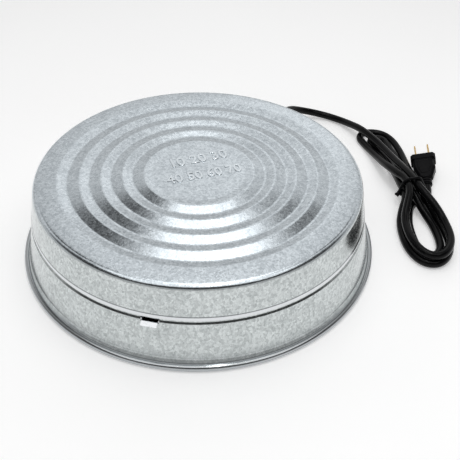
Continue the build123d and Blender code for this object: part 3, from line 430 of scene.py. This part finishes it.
def tube(name, lines, radius, closed):
    line = bpy.data.curves.new(name, "CURVE")
    line.dimensions = "3D"
    line.bevel_depth = radius
    line.bevel_resolution = 4
    line.use_fill_caps = True
    for points, cyclic in zip(lines, closed):
        strand = line.splines.new("POLY")
        strand.points.add(len(points) - 1)
        for point, spot in zip(strand.points, points):
            point.co = (*spot, 1)
        strand.use_cyclic_u = cyclic
    mesh = mesh_of(name, line)
    smooth(mesh)
    return mesh


waist_down = Vector((waist_across.y, -waist_across.x, 0))
passes = [lead_pass, long_pass, outer_pass, short_pass, inner_pass]
tie_ring = round_hull([(side * PITCH, rise * PITCH) for side, rise, lean in passes], TIE_REACH)
tie_loop = [waist + waist_across * side + Vector((0, 0, rise)) for side, rise in tie_ring]
twist_root = min(tie_loop, key=lambda spot: (spot - waist).dot(waist_across) + 0.3 * spot.z)
twist_way = (-waist_across + waist_down * 0.35 - Vector((0, 0, 0.55))).normalized()
twist_side = twist_way.cross(Vector((0, 0, 1))).normalized()
twist_rise = twist_side.cross(twist_way)


def twisted_end(begin):
    spots = []
    for step in range(TWIST_STEPS):
        turn = step * TWIST_TURN + begin
        around = twist_side * math.cos(turn) + twist_rise * math.sin(turn)
        spots.append(twist_root + twist_way * (step * TWIST_STEP) + around * TWIST_RADIUS)
    return spots


tie_lines = [tie_loop, twisted_end(0.0), twisted_end(math.pi)]
tie_mesh = tube("wire_tie", tie_lines, TIE_RADIUS, closed=[True, False, False])
tie = new_piece("wire_tie", tie_mesh, vinyl)
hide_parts("cord_tie")


# Lid, turned from its outline in mm: sunk centre disc, four ribs, gently falling outer ring, round
# corner, wall and hem
TURN_STEPS = 180
DISC_EDGE, FIRST_CREST, RIB_PITCH, VALLEY_SHARE = 38.3, 45.4, 17.6, 0.56
DISC_LEVEL, CREST_LEVEL, VALLEY_LEVEL = 70.5, 71.396, 69.396
RIBS = 4
LAST_CREST = FIRST_CREST + RIBS * RIB_PITCH
RING_FALL = 0.001703
CREASE_STEP, ROUNDING_STEP = 0.4, 0.2
CORNER_CENTRE, CORNER_RADIUS = (130.924, 66.0), 5.0
CORNER_TOP, WALL_DRAFT, CORNER_STEPS = math.radians(87), math.radians(10.6), 14
WALL_FOOT_RADIUS, WALL_MIDDLE, WALL_UPPER = 148.362, 53.0, 60.0
SHEET, LID_FOOT, HEM_TOP, HEM_BULGE, HEM_SHOULDER = 0.7, 42.6, 46.1, 0.3, 0.3
# The pressed disc is thinner, which leaves room for the thermostat's cap
DISC_UNDER = 70.05
crease_marks = [(0, DISC_LEVEL), (DISC_EDGE, DISC_LEVEL), (FIRST_CREST, CREST_LEVEL)]
for rib in range(RIBS):
    crest = FIRST_CREST + rib * RIB_PITCH
    crease_marks.append((crest + VALLEY_SHARE * RIB_PITCH, VALLEY_LEVEL))
    crease_marks.append((crest + RIB_PITCH, CREST_LEVEL))


def plate_height(radius):
    if radius > LAST_CREST:
        return CREST_LEVEL - RING_FALL * (radius - LAST_CREST) ** 2
    for (near, low), (far, high) in zip(crease_marks, crease_marks[1:]):
        if radius <= far:
            return low + (high - low) * (radius - near) / (far - near)


def rounded_height(radius):
    window = [radius + step * ROUNDING_STEP for step in range(-5, 6)]
    return sum(plate_height(spot) for spot in window) / len(window)


def wall_out(z):
    return WALL_FOOT_RADIUS - z * math.tan(WALL_DRAFT)


def under_height(radius):
    return DISC_UNDER if radius < DISC_EDGE else rounded_height(radius) - SHEET


def corner_spot(turn, radius):
    out, up = CORNER_CENTRE
    return out + radius * math.cos(turn), up + radius * math.sin(turn)


def lid_outline():
    corner_turns = [
        CORNER_TOP + (WALL_DRAFT - CORNER_TOP) * step / CORNER_STEPS for step in range(CORNER_STEPS + 1)
    ]
    radii = [2] + [mark + step * CREASE_STEP for mark, level in crease_marks[1:] for step in range(-4, 5)]
    radii += [LAST_CREST + step * 2.0 for step in range(1, 8)]
    outline = [(radius, rounded_height(radius)) for radius in radii]
    outline += [corner_spot(turn, CORNER_RADIUS) for turn in corner_turns]
    outline += [(wall_out(z), z) for z in (WALL_UPPER, WALL_MIDDLE, HEM_TOP + HEM_SHOULDER)]
    hem_half = (HEM_TOP - LID_FOOT) / 2
    for step in range(9):
        across = step / 4 - 1
        z = LID_FOOT + hem_half * (1 - across)
        outline.append((wall_out(z) + HEM_BULGE * (1 - across * across), z))
    thickness = SHEET / math.cos(WALL_DRAFT)
    outline += [(wall_out(z) - thickness, z) for z in (LID_FOOT, WALL_MIDDLE)]
    outline += [corner_spot(turn, CORNER_RADIUS - SHEET) for turn in corner_turns[::-2]]
    outline += [(radius, under_height(radius)) for radius in radii[::-2]]
    return outline


# Outline turned round the Z axis, closed by a disc at both ends or, for a ring, on itself
def turned(name, outline, ring=False):
    shape = bmesh.new()
    turns = [math.tau * step / TURN_STEPS for step in range(TURN_STEPS)]
    rings = []
    for radius, z in outline:
        spots = [Vector((radius * math.cos(turn), radius * math.sin(turn), z)) * MM for turn in turns]
        rings.append([shape.verts.new(spot) for spot in spots])
    for here, after in zip(rings, rings[1:] + rings[:1] if ring else rings[1:]):
        for step in range(TURN_STEPS):
            following = (step + 1) % TURN_STEPS
            shape.faces.new((here[step], here[following], after[following], after[step]))
    if not ring:
        shape.faces.new(rings[0])
        shape.faces.new(rings[-1][::-1])
    bmesh.ops.recalc_face_normals(shape, faces=shape.faces)
    mesh = bpy.data.meshes.new(name)
    shape.to_mesh(mesh)
    shape.free()
    smooth(mesh)
    mesh.set_sharp_from_angle(angle=math.radians(40))
    return mesh


lid_mesh = turned("dressed_lid", lid_outline())
dressed_lid = new_piece("dressed_lid", lid_mesh, zinc_lid)
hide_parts("lid")


# Foot of the skirt, curving out to the rolled rim
FLARE_TOP, FLARE_KNEE, FLARE_FOOT, FLARE_SLOPE, FLARE_STEPS = 9.5, 7.6, 5.0, 0.45, 14
FLARE_OUTSIDE, FLARE_INSIDE = 0.05, 0.35


def flare_out(z):
    below, knee = FLARE_TOP - z, FLARE_TOP - FLARE_KNEE
    return FLARE_SLOPE * (below * below / (2 * knee) if below < knee else below - knee / 2)


flare_levels = [FLARE_TOP + (FLARE_FOOT - FLARE_TOP) * step / FLARE_STEPS for step in range(FLARE_STEPS + 1)]
flare = [(wall_out(z) + FLARE_OUTSIDE + flare_out(z), z) for z in flare_levels]
flare += [(wall_out(z) - FLARE_INSIDE, z) for z in flare_levels[::-2]]
new_piece("skirt_foot", turned("skirt_foot", flare, ring=True), zinc_skirt)


# Shallow panel on the plug's upper face
plug_turn, plug_roll = math.radians(83), math.radians(16)
plug_level = Vector((math.sin(plug_turn), -math.cos(plug_turn), 0))
plug_across = plug_level * math.cos(plug_roll) + plug_level.cross(plug_way) * math.sin(plug_roll)
plug_above = plug_across.cross(plug_way)
# Side, way along the plug and height in mm, then how each ring of the panel grows and lifts
panel_outline = [
    (-6.2, 31.0, 6.2), (-6.2, 22.6, 6.2), (-3.6, 14.6, 5.34),
    (3.6, 14.6, 5.34), (6.2, 22.6, 6.2), (6.2, 31.0, 6.2),
]
PANEL_MIDDLE = 23.0
PANEL_RINGS = ((1.06, -0.15), (1.06, 0.12), (1.0, 0.24), (0.86, 0.24), (0.82, 0.12))


def plug_spot(side, along, rise):
    return plug_start + (plug_across * side + plug_way * along + plug_above * rise) * MM


panel = bmesh.new()
rings = []
for grow, lift in PANEL_RINGS:
    spots = [
        plug_spot(side * grow, PANEL_MIDDLE + (along - PANEL_MIDDLE) * grow, rise + lift)
        for side, along, rise in panel_outline
    ]
    rings.append([panel.verts.new(spot) for spot in spots])
for low, high in zip(rings, rings[1:]):
    for here in range(len(low)):
        after = (here + 1) % len(low)
        panel.faces.new((low[here], low[after], high[after], high[here]))
for end in (rings[0], rings[-1]):
    panel.faces.new((end[0], end[1], end[4], end[5]))
    panel.faces.new((end[1], end[2], end[3], end[4]))
bmesh.ops.recalc_face_normals(panel, faces=panel.faces)
panel_mesh = bpy.data.meshes.new("plug_panel")
panel.to_mesh(panel_mesh)
panel.free()
new_piece("plug_panel", panel_mesh, vinyl)


# Two rows of plain numbers pressed up in the lid's centre disc
def pressed_row(name, digits, start, end, height):
    text = bpy.data.curves.new(name, "FONT")
    text.body = digits
    text.size = 0.02
    text.resolution_u = 8
    text.extrude = 0.1 * MM
    text.offset = 0.2 * MM
    text.bevel_depth = 0.5 * MM
    text.bevel_resolution = 3
    mesh = mesh_of(name, text)
    across = [vertex.co.x for vertex in mesh.vertices]
    upward = [vertex.co.y for vertex in mesh.vertices]
    left, width = min(across), max(across) - min(across)
    foot, tallness = min(upward), max(upward) - min(upward)
    run = Vector(end) - Vector(start)
    turn = math.atan2(run.y, run.x)
    for vertex in mesh.vertices:
        x = (vertex.co.x - left) / width * run.length
        y = (vertex.co.y - foot) / tallness * height
        vertex.co = (
            start[0] + x * math.cos(turn) - y * math.sin(turn),
            start[1] + x * math.sin(turn) + y * math.cos(turn),
            start[2] + vertex.co.z,
        )
    smooth(mesh)
    new_piece(name, mesh, zinc_raised_highlight)


disc_z = DISC_LEVEL * MM
pressed_row("pressed_row_1", "10 20 30", (-0.0217, 0.0065, disc_z), (0.0258, 0.0212, disc_z), 0.0125)
pressed_row("pressed_row_2", "40 50 60 70", (-0.0249, -0.0172, disc_z), (0.0369, 0.0005, disc_z), 0.0118)


# Rays that see the floor's lift: from the camera, a reflection or through glass
def seen_rays(shade):
    path = shade.add("ShaderNodeLightPath").outputs
    seen = shade.math("ADD", path["Is Camera Ray"], path["Is Glossy Ray"], clamp=True)
    return shade.math("ADD", seen, path["Is Transmission Ray"], clamp=True)


# Floor: a pale sheet
FLOOR_HALF, FLOOR_LIFT = 6, 0.31
floor_shade = Shade("studio_floor")
floor_grain = floor_shade.noise(3.0, 2.0)
floor_tone = floor_shade.ramp(floor_grain, [(0.3, (0.93, 0.93, 0.93)), (0.7, (0.95, 0.95, 0.95))])
floor_lift = floor_shade.math("MULTIPLY", seen_rays(floor_shade), FLOOR_LIFT)
floor_shade.surface.inputs["Emission Color"].default_value = (1, 1, 1, 1)
studio_floor = floor_shade.finish(base_color=floor_tone, roughness=0.8, emission_strength=floor_lift)
floor_mesh = bpy.data.meshes.new("floor")
floor_corners = [(x * FLOOR_HALF, y * FLOOR_HALF, 0) for x, y in ((-1, -1), (1, -1), (1, 1), (-1, 1))]
floor_mesh.from_pydata(floor_corners, [], [(0, 1, 2, 3)])
floor_mesh.materials.append(studio_floor)
floor = bpy.data.objects.new("floor", floor_mesh)
bpy.context.scene.collection.objects.link(floor)

# Surroundings: a plain pale room with soft darker and lighter areas
world = bpy.data.worlds.new("studio")
world.use_nodes = True
sky = world.node_tree
direction = sky.nodes.new("ShaderNodeTexCoord").outputs["Generated"]


def sky_node(kind, inputs, **settings):
    made = sky.nodes.new(kind)
    for key, value in settings.items():
        setattr(made, key, value)
    for key, value in inputs.items():
        if isinstance(value, bpy.types.NodeSocket):
            sky.links.new(value, made.inputs[key])
        else:
            made.inputs[key].default_value = value
    return made


# A round area of the sky, at its own brightness within the inner angle and fading out to the outer one
def sky_area(below, middle, inner, outer, level):
    heading = Vector(middle).normalized()
    toward = sky_node("ShaderNodeVectorMath", {0: direction, 1: heading}, operation="DOT_PRODUCT")
    share = sky_node(
        "ShaderNodeMapRange",
        {
            "Value": toward.outputs["Value"],
            "From Min": math.cos(math.radians(outer)),
            "From Max": math.cos(math.radians(inner)),
        },
        interpolation_type="SMOOTHSTEP",
    )
    shares = {"Factor": share.outputs["Result"], 2: below, 3: level}
    return sky_node("ShaderNodeMix", shares, data_type="FLOAT").outputs[0]


SKY_BRIGHTNESS = 0.70
SKY_AREAS = [
    # Dark near side, which the rim, hem and corner reflect
    ((0, -1, 0.45), 62, 84, 0.05),
    ((-0.85, -0.30, 0.45), 28, 45, 0.05),
    ((0.85, -0.30, 0.45), 28, 45, 0.05),
    # Far side, which the lid's flat parts reflect
    ((-0.42, 0.76, 0.50), 10, 20, 0.64),
    ((0, 0.74, 0.67), 6, 16, 0.84),
    ((0.16, 0.86, 0.48), 4, 10, 1.0),
    # Dark patches, which the ribs' outward flanks reflect
    ((-0.37, 0.55, 0.75), 6.5, 11.5, 0.06),
    ((0.43, 0.55, 0.72), 5.5, 9.5, 0.1),
    # Everything near and below the horizon
    ((0, 0, -1), 107, 117, 0.58),
]
brightness = SKY_BRIGHTNESS
for middle, inner, outer, level in SKY_AREAS:
    brightness = sky_area(brightness, middle, inner, outer, level)
sky.links.new(brightness, sky.nodes["Background"].inputs["Strength"])
sky.nodes["Background"].inputs["Color"].default_value = (1, 1, 1, 1)
bpy.context.scene.world = world


# Softboxes overhead: a wide one above, a narrower one behind it and a strip that gives the cord its gloss
def softbox(name, middle, width, length, radiance):
    data = bpy.data.lights.new(name, "AREA")
    data.shape = "RECTANGLE"
    data.size = width
    data.size_y = length
    data.energy = radiance * math.pi * width * length
    made = bpy.data.objects.new(name, data)
    made.location = middle
    bpy.context.scene.collection.objects.link(made)


softbox("softbox_above", (0.05, -0.40, 1.25), 1.9, 0.95, 1.15)
softbox("softbox_behind", (0.065, 0.40, 1.25), 0.64, 0.62, 1.0)
softbox("strip", (0.10, -0.05, 1.24), 0.04, 0.9, 12.0)

bpy.context.scene.view_settings.view_transform = "Standard"
